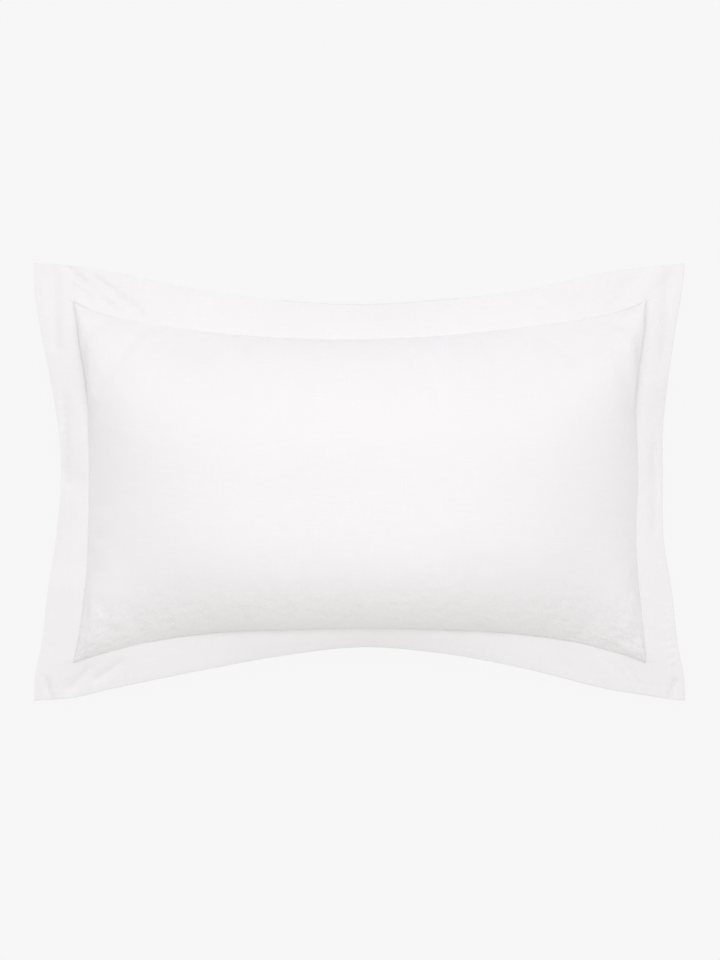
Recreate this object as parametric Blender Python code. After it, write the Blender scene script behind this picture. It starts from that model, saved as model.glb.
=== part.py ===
"""A white flanged pillowcase with its pillow inside, lying on its back.

World frame: metres, +X along the long side, +Y up the picture, +Z out of the face.
The case is sewn flat: a rectangle inside the stitch line and a flange round it. Filling it
draws the sides in and lifts the stitch line off the surface, while the flange droops.
"""
from collections import namedtuple
from math import copysign, cos, exp, hypot, pi, radians, sin

import bmesh
import bpy
from mathutils import Vector

MM = 0.001

# The case as it is cut and sewn, flat
PANEL_LENGTH = 0.730          # inside the stitch line
PANEL_WIDTH = 0.480
FLANGE_WIDTH = 0.050
CLOTH = 0.002                 # a sheet's thickness
GAP = 0.0005                  # between pieces that touch
TURNED_IN_WIDTH = 0.013       # the seam inside the outer edge, which shows as a low ridge
TURNED_IN_EXTRA = 0.001

# The case as it lies, filled
SEAM_LENGTH = 0.717           # stitch line, corner to corner
SEAM_WIDTH = 0.454
EDGE_LENGTH = 0.814           # outer edge, corner to corner
EDGE_WIDTH = 0.547
CROWN = 0.1113                # the face above the stitch line
SEAM_HEIGHT_MIDDLE = 0.075    # the stitch line above the surface, at the middle of a side
SEAM_HEIGHT_CORNER = 0.057
SEAM_TILT = 0.016             # how much higher it is along the top side
EDGE_HEIGHT_CORNER = 0.043
FLANGE_SLOPE = radians(30)    # about how steeply the flange hangs at a side's middle
FOLD_FULL_AT = 0.7            # share of the flange's width where a fold reaches its full lift

# How the filling rounds the back
BACK_LONG_ROUND = 3.8         # a higher power is a broader, flatter crown
BACK_SHORT_ROUND = 2.3
BACK_SHOULDER = 0.57          # a lower power is a steeper rise beside the stitch line
BACK_LIES_FROM = 0.75         # share of full depth from which the back lies on the surface
BACK_SWELL = 0.004            # how far it swells out over the stitch line
BULGE_PEAK = 27 / 4           # makes the highest value of h * (1 - h) ** 2 one
FOLLOWS_SEAM = 6              # a higher power keeps the seam's curve closer to the seam
CROWD_TO_EDGE = 1.9           # a higher power packs more faces beside the stitch line

# The back panel's free edge, over the opening at one short end
OPENING_AT = 0.86             # place along the half length of the panel
HEM_WIDTH = 0.030
HEM_EXTRA = 0.001             # the folded hem is this much thicker

# Faces along the long and the short way
BODY_FACES = (36, 24)
FLANGE_FACES = (64, 40)
FLANGE_ROWS = 4

# How far each line is drawn in from the straight, and how far the face swells out over its
# stitch line, in mm, from the left to the right
LongSides = namedtuple(
    "LongSides", "along top_edge top_seam top_swell bottom_edge bottom_seam bottom_swell")
LONG_SIDES = [
    LongSides(-1.000, 0.0, 0.0, -4.0, 0.0, 0.0, 1.5),
    LongSides(-0.940, 0.5, 11.0, -4.0, 1.5, 7.5, 2.0),
    LongSides(-0.875, 3.0, 19.0, -4.0, 4.0, 14.0, 3.0),
    LongSides(-0.750, 11.5, 28.5, -4.0, 16.0, 25.5, 4.0),
    LongSides(-0.500, 33.0, 41.0, -4.0, 37.0, 39.0, 4.5),
    LongSides(-0.250, 46.0, 47.5, -4.0, 55.5, 43.0, 4.5),
    LongSides(0.000, 51.5, 49.5, -4.0, 67.0, 45.5, 4.5),
    LongSides(0.250, 45.5, 45.5, -4.0, 59.5, 43.5, 4.5),
    LongSides(0.500, 34.5, 37.0, -4.0, 41.0, 39.0, 4.5),
    LongSides(0.750, 11.5, 25.0, -4.0, 15.5, 26.5, 4.0),
    LongSides(0.875, 5.0, 16.0, -4.0, 7.0, 15.0, 3.0),
    LongSides(0.940, 2.0, 9.0, -4.0, 2.5, 8.5, 2.0),
    LongSides(1.000, 0.0, 0.0, -4.0, 0.0, 0.0, 1.5),
]

# The same for the short sides, from the bottom to the top
ShortSides = namedtuple(
    "ShortSides", "along left_edge left_seam left_swell right_edge right_seam right_swell")
SHORT_SIDES = [
    ShortSides(-1.000, 0.0, 0.0, 3.0, 0.0, 0.0, 3.0),
    ShortSides(-0.940, 0.5, 3.5, 3.0, 0.5, 1.5, 3.0),
    ShortSides(-0.875, 1.5, 8.0, 2.5, 2.0, 4.0, 2.5),
    ShortSides(-0.750, 9.0, 12.0, 2.0, 9.0, 7.0, 2.0),
    ShortSides(-0.500, 17.5, 18.5, 2.0, 17.0, 12.5, 2.0),
    ShortSides(-0.250, 28.0, 21.0, 2.0, 27.5, 14.5, 2.0),
    ShortSides(0.000, 34.0, 22.0, 2.0, 28.5, 12.0, 2.5),
    ShortSides(0.250, 30.5, 21.0, 3.5, 28.0, 13.0, 4.0),
    ShortSides(0.500, 19.0, 19.0, 9.0, 20.5, 13.5, 8.0),
    ShortSides(0.750, 5.5, 10.0, 9.5, 10.0, 5.0, 8.5),
    ShortSides(0.875, 1.0, 5.0, 8.0, 4.0, 1.5, 8.0),
    ShortSides(1.000, 0.0, 0.0, 6.0, 0.0, 0.0, 6.0),
]

# Each side, in mm: the outer edge's height at its middle, how much higher it waves at the
# quarters, and the flange's rounded lift. Then how the filling rounds the face there and at
# the side's ends: a higher round is a flatter crown, a lower shoulder a steeper rise.
Side = namedtuple(
    "Side", "edge_height edge_wave flange_lift round shoulder corner_round corner_shoulder")
SIDES = {
    "top": Side(59.0, 0.0, 4.0, 2.6, 0.86, 2.8, 1.20),
    "bottom": Side(54.0, 6.0, 3.0, 3.4, 0.70, 3.7, 0.98),
    "left": Side(61.0, 0.0, 2.0, 4.2, 0.80, 4.5, 0.80),
    "right": Side(61.0, 0.0, 2.0, 4.2, 0.80, 4.5, 0.80),
}

# Soft folds across the flange, in mm: from the outer end to the inner end in plan, the lift
# (a groove is negative) and the reach to each side
Fold = namedtuple("Fold", "outer_x outer_y inner_x inner_y lift reach")
FLANGE_FOLDS = [
    Fold(-361, 262, -311, 221, -4.5, 9),
    Fold(-340, 264, -292, 224, 3.0, 9),
    Fold(-320, 247, -271, 212, -4.0, 9),
    Fold(350, 259, 313, 225, -3.0, 10),
    Fold(376, 262, 352, 232, 2.5, 10),
    Fold(-362, -258, -338, -233, -3.5, 10),
    Fold(-328, -246, -299, -226, -3.0, 10),
    Fold(-392, -244, -387, -272, -3.0, 8),
    Fold(394, -246, 389, -272, -3.0, 8),
    Fold(322, -262, 300, -212, 2.5, 14),
    Fold(262, -245, 250, -200, -3.0, 16),
    Fold(206, -232, 200, -190, 2.0, 16),
    Fold(-214, 240, -200, 190, 2.0, 18),
    Fold(-120, 228, -112, 184, -2.0, 20),
    Fold(124, 230, 118, 186, 2.0, 20),
    Fold(-375, 8, -338, 4, -5.0, 26),
    Fold(-388, -132, -343, -118, 2.5, 24),
    Fold(380, 2, 342, 6, -4.0, 28),
    Fold(388, 130, 350, 118, 2.0, 24),
]


def table_value(rows, column, along):
    """Read a table's column at a place between its rows, smoothly."""
    along = min(max(along, rows[0].along), rows[-1].along)
    after = next(i for i in range(1, len(rows)) if along <= rows[i].along)
    places = [row.along for row in rows]
    values = [getattr(row, column) for row in rows]

    def slope(i):
        low, high = max(i - 1, 0), min(i + 1, len(rows) - 1)
        return (values[high] - values[low]) / (places[high] - places[low])

    before = after - 1
    span = places[after] - places[before]
    t = (along - places[before]) / span
    start, end = values[before], values[after]
    bend = slope(before) * span * t * (1 - t) ** 2 - slope(after) * span * t * t * (1 - t)
    return (start + (end - start) * t * t * (3 - 2 * t) + bend) * MM


def plan_point(u, v, line, length, width):
    """Place (u, v), each -1 to 1, inside the four drawn-in sides of the seam or the edge."""
    left = -length / 2 + table_value(SHORT_SIDES, "left_" + line, v)
    right = length / 2 - table_value(SHORT_SIDES, "right_" + line, v)
    bottom = -width / 2 + table_value(LONG_SIDES, "bottom_" + line, u)
    top = width / 2 - table_value(LONG_SIDES, "top_" + line, u)
    return (left + right) / 2 + u * (right - left) / 2, (bottom + top) / 2 + v * (top - bottom) / 2


def seam_height(u, v):
    """The stitch line's height: lowest at the corners, and highest along the top side."""
    middle = SEAM_HEIGHT_MIDDLE + SEAM_TILT * (v + v * v) / 2
    return SEAM_HEIGHT_CORNER + (middle - SEAM_HEIGHT_CORNER) * (1 - (u * v) ** 2)


def crowd(t):
    """Spread even steps so that they crowd towards the stitch line."""
    place = 1 - (1 - abs(t)) ** CROWD_TO_EDGE
    return place if t > 0 else -place


def body_plan(u, v):
    """Place (u, v) inside the seam: the level lines run straight and bend only beside it."""
    x, y = plan_point(u, v, "seam", SEAM_LENGTH, SEAM_WIDTH)
    straight_x, _ = plan_point(u, 0, "seam", SEAM_LENGTH, SEAM_WIDTH)
    _, straight_y = plan_point(0, v, "seam", SEAM_LENGTH, SEAM_WIDTH)
    follow = 1 - (1 - abs(u) ** FOLLOWS_SEAM) * (1 - abs(v) ** FOLLOWS_SEAM)
    return straight_x + (x - straight_x) * follow, straight_y + (y - straight_y) * follow


def rise(place, round_power, shoulder):
    """How full the case is across one direction, from 0 at the seam to 1."""
    return (1 - abs(place) ** round_power) ** shoulder


def side_rise(place, side, along):
    """The rise of the face from one side, between its middle's form and its ends' form."""
    side = SIDES[side]
    round_power = side.round + (side.corner_round - side.round) * along ** 2
    shoulder = side.shoulder + (side.corner_shoulder - side.shoulder) * along ** 2
    return rise(place, round_power, shoulder)


def both(full_u, full_v):
    """The two rises together, fuller at the corners than their product."""
    if full_u <= 0 or full_v <= 0:
        return 0
    return 1 / (1 / full_u + 1 / full_v - 1)


def bulge(full):
    return BULGE_PEAK * full * (1 - full) ** 2


def swollen(u, v, full_u, full_v, swell_u, swell_v):
    """A place in plan, swelling out over the stitch line where the case is part full."""
    x, y = body_plan(u, v)
    return (x + copysign(bulge(full_u) * full_v * swell_u, u),
            y + copysign(bulge(full_v) * full_u * swell_v, v))


def face_point(u, v):
    side_u, side_v = "right" if u > 0 else "left", "top" if v > 0 else "bottom"
    full_u, full_v = side_rise(u, side_u, v), side_rise(v, side_v, u)
    swell_u = table_value(SHORT_SIDES, side_u + "_swell", v)
    swell_v = table_value(LONG_SIDES, side_v + "_swell", u)
    x, y = swollen(u, v, full_u, full_v, swell_u, swell_v)
    return Vector((x, y, seam_height(u, v) + CLOTH / 2 + CROWN * both(full_u, full_v)))


def back_point(u, v):
    """The filling's underside, which lies level just above the back panel."""
    full_u = rise(u, BACK_LONG_ROUND, BACK_SHOULDER)
    full_v = rise(v, BACK_SHORT_ROUND, BACK_SHOULDER)
    x, y = swollen(u, v, full_u, full_v, BACK_SWELL, BACK_SWELL)
    lie = min(full_u * full_v / BACK_LIES_FROM, 1)
    top = seam_height(u, v) - CLOTH / 2
    level = CLOTH + GAP
    return Vector((x, y, top + (level - top) * lie * lie * (3 - 2 * lie)))


def back_outward(u, v, step=0.001):
    """The direction square to the filling's underside, away from the filling."""
    along_u = back_point(u + step, v) - back_point(u - step, v)
    along_v = back_point(u, v + step) - back_point(u, v - step)
    return along_v.cross(along_u).normalized()


def edge_point(u, v, side):
    """A point of the outer edge: the side's middle and the corners set its height."""
    x, y = plan_point(u, v, "edge", EDGE_LENGTH, EDGE_WIDTH)
    middle = SIDES[side].edge_height * MM
    wave = SIDES[side].edge_wave * MM * sin(pi * u * v) ** 2
    height = EDGE_HEIGHT_CORNER + (middle - EDGE_HEIGHT_CORNER) * (1 - (u * v) ** 2)
    return Vector((x, y, height + wave))


def fold_lift(x, y, across):
    """Sum the folds that pass near (x, y); they fade out at the stitch line."""
    total = 0
    for fold in FLANGE_FOLDS:
        ax, ay = fold.outer_x * MM, fold.outer_y * MM
        bx, by = fold.inner_x * MM - ax, fold.inner_y * MM - ay
        t = ((x - ax) * bx + (y - ay) * by) / (bx * bx + by * by)
        t = min(max(t, 0), 1)
        away = hypot(x - ax - t * bx, y - ay - t * by) / (fold.reach * MM)
        total += fold.lift * MM * exp(-away * away)
    return total * sin(min(across / FOLD_FULL_AT, 1) * pi / 2)


def corner_patch(seam, u, v, over_u, over_v):
    """Fill the flange's corner between the seam's corner and the two outer edges."""
    side_u, out_u = ("right", 1) if u > 0 else ("left", -1)
    side_v, out_v = ("top", 1) if v > 0 else ("bottom", -1)
    beside = edge_point(out_u, out_v * PANEL_WIDTH / (PANEL_WIDTH + 2 * FLANGE_WIDTH), side_u)
    above = edge_point(out_u * PANEL_LENGTH / (PANEL_LENGTH + 2 * FLANGE_WIDTH), out_v, side_v)
    tip = edge_point(out_u, out_v, side_u)
    across_u = seam.lerp(beside, over_u).lerp(edge_point(u, out_v, side_v), over_v)
    across_v = seam.lerp(above, over_v).lerp(edge_point(out_u, v, side_u), over_u)
    both = seam.lerp(beside, over_u).lerp(above.lerp(tip, over_u), over_v)
    return across_u + across_v - both


def flange_point(a, b):
    """The flange's middle surface at (a, b) of the flat cloth, in metres from its centre."""
    half_length, half_width = PANEL_LENGTH / 2, PANEL_WIDTH / 2
    side_a, out_a = ("right", 1) if a > 0 else ("left", -1)
    side_b, out_b = ("top", 1) if b > 0 else ("bottom", -1)
    over_a = max(round((abs(a) - half_length) / FLANGE_WIDTH, 4), 0)
    over_b = max(round((abs(b) - half_width) / FLANGE_WIDTH, 4), 0)

    inner_u = min(max(round(a / half_length, 5), -1), 1)
    inner_v = min(max(round(b / half_width, 5), -1), 1)
    x, y = plan_point(inner_u, inner_v, "seam", SEAM_LENGTH, SEAM_WIDTH)
    x += out_a * GAP * (abs(inner_u) == 1)
    y += out_b * GAP * (abs(inner_v) == 1)
    seam = Vector((x, y, seam_height(inner_u, inner_v)))

    u, v = a / (half_length + FLANGE_WIDTH), b / (half_width + FLANGE_WIDTH)
    if over_a and over_b:
        point, lift = corner_patch(seam, u, v, over_a, over_b), 0
    elif over_a:
        point = seam.lerp(edge_point(out_a, v, side_a), over_a)
        lift = SIDES[side_a].flange_lift * (1 - inner_v ** 2)
    else:
        point = seam.lerp(edge_point(u, out_b, side_b), over_b)
        lift = SIDES[side_b].flange_lift * (1 - inner_u ** 2)
    across = max(over_a, over_b)
    point.z += lift * MM * sin(pi * across) + fold_lift(point.x, point.y, across)
    return point, across


def new_object(name, bm, colour):
    """Close the shell's normals, make the object and give it its own material."""
    bmesh.ops.recalc_face_normals(bm, faces=bm.faces[:])
    mesh = bpy.data.meshes.new(name)
    bm.to_mesh(mesh)
    bm.free()
    made = bpy.data.objects.new(name, mesh)
    bpy.data.collections["parts"].objects.link(made)
    material = bpy.data.materials.new(name + "_cloth")
    material.use_nodes = True
    principled = material.node_tree.nodes["Principled BSDF"]
    principled.inputs["Base Color"].default_value = (*colour, 1)
    principled.inputs["Roughness"].default_value = 0.9
    mesh.materials.append(material)
    return made


def two_skins(bm):
    """Extrude a flat sheet into two matching skins with a wall round them."""
    made = bmesh.ops.extrude_face_region(bm, geom=bm.faces[:])["geom"]
    upper = {item for item in made if isinstance(item, bmesh.types.BMVert)}
    lower = [vert for vert in bm.verts if vert not in upper]
    return upper, lower


def build_filled_body():
    bm = bmesh.new()
    bmesh.ops.create_grid(bm, x_segments=BODY_FACES[0], y_segments=BODY_FACES[1], size=1)
    upper, lower = two_skins(bm)
    for vert in upper:
        vert.co = face_point(crowd(vert.co.x), crowd(vert.co.y))
    for vert in lower:
        vert.co = back_point(crowd(vert.co.x), crowd(vert.co.y))
    return new_object("filled_body", bm, (0.88, 0.88, 0.87))


def build_flange():
    """The margin of a flat grid, laid on the drawn-in seam and edge."""
    columns, rows = FLANGE_FACES[0] + 2 * FLANGE_ROWS, FLANGE_FACES[1] + 2 * FLANGE_ROWS
    bm = bmesh.new()
    bmesh.ops.create_grid(bm, x_segments=columns, y_segments=rows, size=0.5)

    def cloth_place(t, faces, panel):
        """Even steps over the panel, then even steps over the flange."""
        step = t * (faces + 2 * FLANGE_ROWS)
        inside = min(abs(step), faces / 2)
        place = inside / faces * panel + (abs(step) - inside) / FLANGE_ROWS * FLANGE_WIDTH
        return place if step > 0 else -place

    for vert in bm.verts:
        vert.co.x = cloth_place(vert.co.x, FLANGE_FACES[0], PANEL_LENGTH)
        vert.co.y = cloth_place(vert.co.y, FLANGE_FACES[1], PANEL_WIDTH)
    centre = [
        face for face in bm.faces
        if abs(face.calc_center_median().x) < PANEL_LENGTH / 2
        and abs(face.calc_center_median().y) < PANEL_WIDTH / 2
    ]
    bmesh.ops.delete(bm, geom=centre, context="FACES")

    upper, lower = two_skins(bm)
    for verts, out in ((upper, 1), (lower, -1)):
        for vert in verts:
            point, across = flange_point(vert.co.x, vert.co.y)
            slope = FLANGE_SLOPE * min(across * FLANGE_ROWS, 1)
            turned_in = TURNED_IN_EXTRA * (across * FLANGE_WIDTH > FLANGE_WIDTH - TURNED_IN_WIDTH)
            vert.co = point + Vector((0, 0, out * (CLOTH + turned_in) / 2 / cos(slope)))
    return new_object("flange", bm, (0.86, 0.87, 0.90))


def build_back_panel():
    """A sheet against the filling's underside, from three seams to its own free hem."""
    bm = bmesh.new()
    bmesh.ops.create_grid(bm, x_segments=BODY_FACES[0], y_segments=BODY_FACES[1], size=1)
    first_u, first_v = 1 - 2 / BODY_FACES[0], 1 - 2 / BODY_FACES[1]
    left_out = []
    for face in bm.faces:
        centre = face.calc_center_median()
        beside_seam = abs(centre.x) > first_u or abs(centre.y) > first_v
        if beside_seam or crowd(centre.x) > OPENING_AT:
            left_out.append(face)
    bmesh.ops.delete(bm, geom=left_out, context="FACES")
    free_edge = crowd(max(vert.co.x for vert in bm.verts)) * SEAM_LENGTH / 2

    upper, lower = two_skins(bm)
    for vert in bm.verts:
        u, v = crowd(vert.co.x), crowd(vert.co.y)
        place, outward = back_point(u, v), back_outward(u, v)
        in_hem = u * SEAM_LENGTH / 2 > free_edge - HEM_WIDTH
        clear_of_surface = place.z > CLOTH + GAP + HEM_EXTRA
        sheet = CLOTH + HEM_EXTRA * (in_hem and clear_of_surface)
        vert.co = place + outward * (GAP if vert in upper else GAP + sheet)
    return new_object("back_panel", bm, (0.84, 0.86, 0.86))


for item in list(bpy.data.objects):
    bpy.data.objects.remove(item, do_unlink=True)
parts = bpy.data.collections.new("parts")
bpy.context.scene.collection.children.link(parts)

build_filled_body()
build_flange()
build_back_panel()
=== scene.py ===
# %% [markdown]
# # A white flanged pillowcase, filled and lying on its back
#
# The real thing is sewn flat from washed linen: a front panel, a back panel with an open
# hemmed end, and a 5 cm flange round them that is held by one line of topstitching. The
# pillow inside draws the sides in, so the straight cut turns into long hollow curves, and
# the flange hangs off them in soft waves.
#
# The solids in the frame already have that form with few faces. Here the same form is
# given again as fine cloth, with its gathers, creases, hems, stitches and weave.

# %% Load the frame and read its box
from bisect import bisect_left
from collections import namedtuple
from math import copysign, cos, exp, hypot, pi, radians, sin, tanh

import bpy
from mathutils import Matrix, Vector, noise


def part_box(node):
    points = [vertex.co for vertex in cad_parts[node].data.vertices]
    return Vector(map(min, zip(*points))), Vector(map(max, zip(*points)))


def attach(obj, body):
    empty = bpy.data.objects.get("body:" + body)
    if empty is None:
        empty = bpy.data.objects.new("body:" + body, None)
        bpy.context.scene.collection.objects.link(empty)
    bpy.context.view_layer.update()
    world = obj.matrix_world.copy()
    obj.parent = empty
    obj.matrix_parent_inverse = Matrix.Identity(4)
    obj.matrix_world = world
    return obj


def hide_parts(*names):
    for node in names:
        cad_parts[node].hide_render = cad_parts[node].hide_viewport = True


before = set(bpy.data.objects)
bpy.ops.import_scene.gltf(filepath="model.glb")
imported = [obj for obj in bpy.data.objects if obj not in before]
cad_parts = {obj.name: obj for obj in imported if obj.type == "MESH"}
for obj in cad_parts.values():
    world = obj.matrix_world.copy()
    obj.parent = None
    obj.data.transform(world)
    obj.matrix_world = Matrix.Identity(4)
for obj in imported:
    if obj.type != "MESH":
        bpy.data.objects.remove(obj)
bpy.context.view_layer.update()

# %% [markdown]
# ## Sizes
#
# The flat cut is what a sewer would measure. The seam and edge sizes are read off the
# frame's nodes, so the cloth and the solids agree.

# %% The flat cut and the filled sizes
MM = 0.001
PANEL_LENGTH = 0.730          # inside the stitch line, as sewn
PANEL_WIDTH = 0.480
FLANGE_WIDTH = 0.050
GAP = 0.5 * MM                # between pieces that touch

body_low, body_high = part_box("filled_body")
edge_low, edge_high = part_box("flange")
SEAM_LENGTH = body_high.x - body_low.x
SEAM_WIDTH = body_high.y - body_low.y
EDGE_LENGTH = edge_high.x - edge_low.x
EDGE_WIDTH = edge_high.y - edge_low.y

SEAM_HEIGHT_MIDDLE = 75 * MM  # the stitch line above the floor, at the middle of a side
SEAM_HEIGHT_CORNER = 57 * MM
SEAM_TILT = 16 * MM           # how much higher it is along the top side
EDGE_HEIGHT_CORNER = 43 * MM
CROWN = body_high.z - SEAM_HEIGHT_MIDDLE
BACK_LEVEL = body_low.z       # the filling's underside, just above the back panel
print("seam", round(SEAM_LENGTH, 4), round(SEAM_WIDTH, 4), "crown", round(CROWN, 4))

# %% [markdown]
# ## Four sides that are drawn in
#
# Each side of the seam and of the outer edge hollows in a little differently, and that
# unevenness is what makes it look sewn and filled by hand. A short table gives, in mm, how
# far each line leaves the straight at a few places, and a smooth curve runs through them.
# The swell is how far the filled panel bulges out over its stitch line; below 0 it leans in.

# %% Tables of the drawn-in sides
LongSides = namedtuple(
    "LongSides", "along top_edge top_seam top_swell bottom_edge bottom_seam bottom_swell")
LONG_SIDES = [
    LongSides(-1.000, 0.0, 0.0, -4.0, 0.0, 0.0, 1.5),
    LongSides(-0.940, 0.5, 11.0, -4.0, 1.5, 7.5, 2.0),
    LongSides(-0.875, 3.0, 19.0, -4.0, 4.0, 14.0, 3.0),
    LongSides(-0.750, 11.5, 28.5, -4.0, 16.0, 25.5, 4.0),
    LongSides(-0.500, 33.0, 41.0, -4.0, 37.0, 39.0, 4.5),
    LongSides(-0.250, 46.0, 47.5, -4.0, 55.5, 43.0, 4.5),
    LongSides(0.000, 51.5, 49.5, -4.0, 67.0, 45.5, 4.5),
    LongSides(0.250, 45.5, 45.5, -4.0, 59.5, 43.5, 4.5),
    LongSides(0.500, 34.5, 37.0, -4.0, 41.0, 39.0, 4.5),
    LongSides(0.750, 11.5, 25.0, -4.0, 15.5, 26.5, 4.0),
    LongSides(0.875, 5.0, 16.0, -4.0, 7.0, 15.0, 3.0),
    LongSides(0.940, 2.0, 9.0, -4.0, 2.5, 8.5, 2.0),
    LongSides(1.000, 0.0, 0.0, -4.0, 0.0, 0.0, 1.5),
]
ShortSides = namedtuple(
    "ShortSides", "along left_edge left_seam left_swell right_edge right_seam right_swell")
SHORT_SIDES = [
    ShortSides(-1.000, 0.0, 0.0, 1.0, 0.0, 0.0, 1.0),
    ShortSides(-0.940, 0.5, 3.0, 1.0, 0.5, 1.0, 1.0),
    ShortSides(-0.875, 1.5, 6.5, 1.0, 2.0, 3.0, 1.0),
    ShortSides(-0.750, 9.0, 10.5, 0.5, 9.0, 5.5, 0.5),
    ShortSides(-0.500, 17.5, 17.0, 0.5, 17.0, 11.0, 0.5),
    ShortSides(-0.250, 28.0, 19.5, 0.5, 27.5, 13.0, 0.5),
    ShortSides(0.000, 34.0, 20.5, 0.5, 28.5, 11.0, 1.5),
    ShortSides(0.250, 30.5, 20.5, 4.0, 28.0, 13.0, 5.0),
    ShortSides(0.500, 19.0, 19.0, 11.0, 20.5, 14.5, 10.0),
    ShortSides(0.750, 5.5, 10.0, 11.5, 10.0, 6.0, 10.5),
    ShortSides(0.875, 1.0, 5.0, 8.0, 4.0, 1.5, 8.0),
    ShortSides(1.000, 0.0, 0.0, 4.0, 0.0, 0.0, 4.0),
]

# Each side, in mm: the outer edge's height at its middle, how much higher it waves at the
# quarters, and the flange's rounded lift. Then the two powers that shape the face's rise from
# there: a higher round is a flatter crown, and a lower shoulder a steeper rise at the seam.
# Both change towards the corners, and the last two are added between middle and corner.
Side = namedtuple(
    "Side", "edge_height edge_wave flange_lift round shoulder corner_round corner_shoulder"
    " quarter_round quarter_shoulder")
SIDES = {
    "top": Side(59.0, 0.0, 4.0, 2.6, 0.93, 3.1, 1.00, 0.0, 0.22),
    "bottom": Side(55.0, 6.0, 3.0, 4.5, 0.82, 3.4, 0.72, -1.9, 0.10),
    "left": Side(61.0, 0.0, 2.0, 4.2, 0.90, 4.5, 0.70, 0.0, 0.0),
    "right": Side(61.0, 0.0, 2.0, 4.2, 0.90, 4.5, 0.70, 0.0, 0.0),
}


# %% Read a table smoothly
FOLLOWS_SEAM = 6              # a higher power keeps the seam's curve closer to the seam


def table_value(rows, column, along):
    """The column's value at a place between two rows, on a curve through them."""
    along = min(max(along, -1), 1)
    places = [row.along for row in rows]
    values = [getattr(row, column) for row in rows]
    after = max(bisect_left(places, along), 1)
    before = after - 1

    def slope(i):
        low, high = max(i - 1, 0), min(i + 1, len(rows) - 1)
        return (values[high] - values[low]) / (places[high] - places[low])

    span = places[after] - places[before]
    t = (along - places[before]) / span
    start, end = values[before], values[after]
    bend = slope(before) * span * t * (1 - t) ** 2 - slope(after) * span * t * t * (1 - t)
    return (start + (end - start) * t * t * (3 - 2 * t) + bend) * MM


def plan_point(u, v, line, length, width):
    """Place (u, v), each -1 to 1, between the four drawn-in sides of the seam or the edge."""
    left = -length / 2 + table_value(SHORT_SIDES, "left_" + line, v)
    right = length / 2 - table_value(SHORT_SIDES, "right_" + line, v)
    bottom = -width / 2 + table_value(LONG_SIDES, "bottom_" + line, u)
    top = width / 2 - table_value(LONG_SIDES, "top_" + line, u)
    return (left + right) / 2 + u * (right - left) / 2, (bottom + top) / 2 + v * (top - bottom) / 2


def body_plan(u, v):
    """Place (u, v) inside the seam: the level lines run straight and bend only beside it."""
    x, y = plan_point(u, v, "seam", SEAM_LENGTH, SEAM_WIDTH)
    straight_x, _ = plan_point(u, 0, "seam", SEAM_LENGTH, SEAM_WIDTH)
    _, straight_y = plan_point(0, v, "seam", SEAM_LENGTH, SEAM_WIDTH)
    follow = 1 - (1 - abs(u) ** FOLLOWS_SEAM) * (1 - abs(v) ** FOLLOWS_SEAM)
    return straight_x + (x - straight_x) * follow, straight_y + (y - straight_y) * follow


def seam_height(u, v):
    """The stitch line's height: lowest at the corners, and highest along the top side."""
    middle = SEAM_HEIGHT_MIDDLE + SEAM_TILT * (v + v * v) / 2
    return SEAM_HEIGHT_CORNER + (middle - SEAM_HEIGHT_CORNER) * (1 - (u * v) ** 2)


def seam_point(u, v):
    x, y = plan_point(u, v, "seam", SEAM_LENGTH, SEAM_WIDTH)
    return Vector((x, y, seam_height(u, v)))


# %% [markdown]
# ## The filled form
#
# A filled panel rises steeply beside its seam and rounds over to a broad crown, and along
# the bottom and the short sides it swells out past the stitch line. The underside does
# the same downwards, until it lies level on the floor. Both are functions of a place
# (u, v) on the panel, so they can be as fine as the cloth needs.

# %% Functions of the face and the underside
BACK_LONG_ROUND, BACK_SHORT_ROUND, BACK_SHOULDER = 3.8, 2.3, 0.57
BACK_SWELL = 4 * MM
LIES_FROM = 0.75              # share of full depth from which the back lies on the floor
BULGE = 27 / 4                # brings the peak of full * (1 - full) ** 2 to 1


def rise(place, round_power, shoulder):
    """How full the case is across one direction, from 0 at the seam to 1."""
    return (1 - abs(place) ** round_power) ** shoulder


def side_rise(place, side, along):
    """The rise from one side of the face; its powers change towards the corners."""
    side, corner, quarter = SIDES[side], along ** 2, 4 * along ** 4 * (1 - along ** 4)
    round_power = side.round + (side.corner_round - side.round) * corner
    shoulder = side.shoulder + (side.corner_shoulder - side.shoulder) * corner
    round_power += side.quarter_round * quarter
    return rise(place, round_power, shoulder + side.quarter_shoulder * quarter)


def both(full_u, full_v):
    """The two rises together: 0 where either is 0, and fuller at corners than their product."""
    if full_u <= 0 or full_v <= 0:
        return 0.0
    return 1 / (1 / full_u + 1 / full_v - 1)


def swollen(u, v, full_u, full_v, swell_u, swell_v):
    """A place in plan, swelling out over the stitch line where the case is part full."""
    x, y = body_plan(u, v)
    x += copysign(BULGE * full_u * (1 - full_u) ** 2 * full_v * swell_u, u)
    y += copysign(BULGE * full_v * (1 - full_v) ** 2 * full_u * swell_v, v)
    return x, y


def face_point(u, v):
    side_u, side_v = "right" if u > 0 else "left", "top" if v > 0 else "bottom"
    full_u, full_v = side_rise(u, side_u, v), side_rise(v, side_v, u)
    swell_u = table_value(SHORT_SIDES, side_u + "_swell", v)
    swell_v = table_value(LONG_SIDES, side_v + "_swell", u)
    x, y = swollen(u, v, full_u, full_v, swell_u, swell_v)
    return Vector((x, y, seam_height(u, v) + CROWN * both(full_u, full_v)))


def back_point(u, v):
    full_u = rise(u, BACK_LONG_ROUND, BACK_SHOULDER)
    full_v = rise(v, BACK_SHORT_ROUND, BACK_SHOULDER)
    x, y = swollen(u, v, full_u, full_v, BACK_SWELL, BACK_SWELL)
    lie = min(full_u * full_v / LIES_FROM, 1)
    top = seam_height(u, v)
    return Vector((x, y, top + (BACK_LEVEL - top) * lie * lie * (3 - 2 * lie)))


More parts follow.
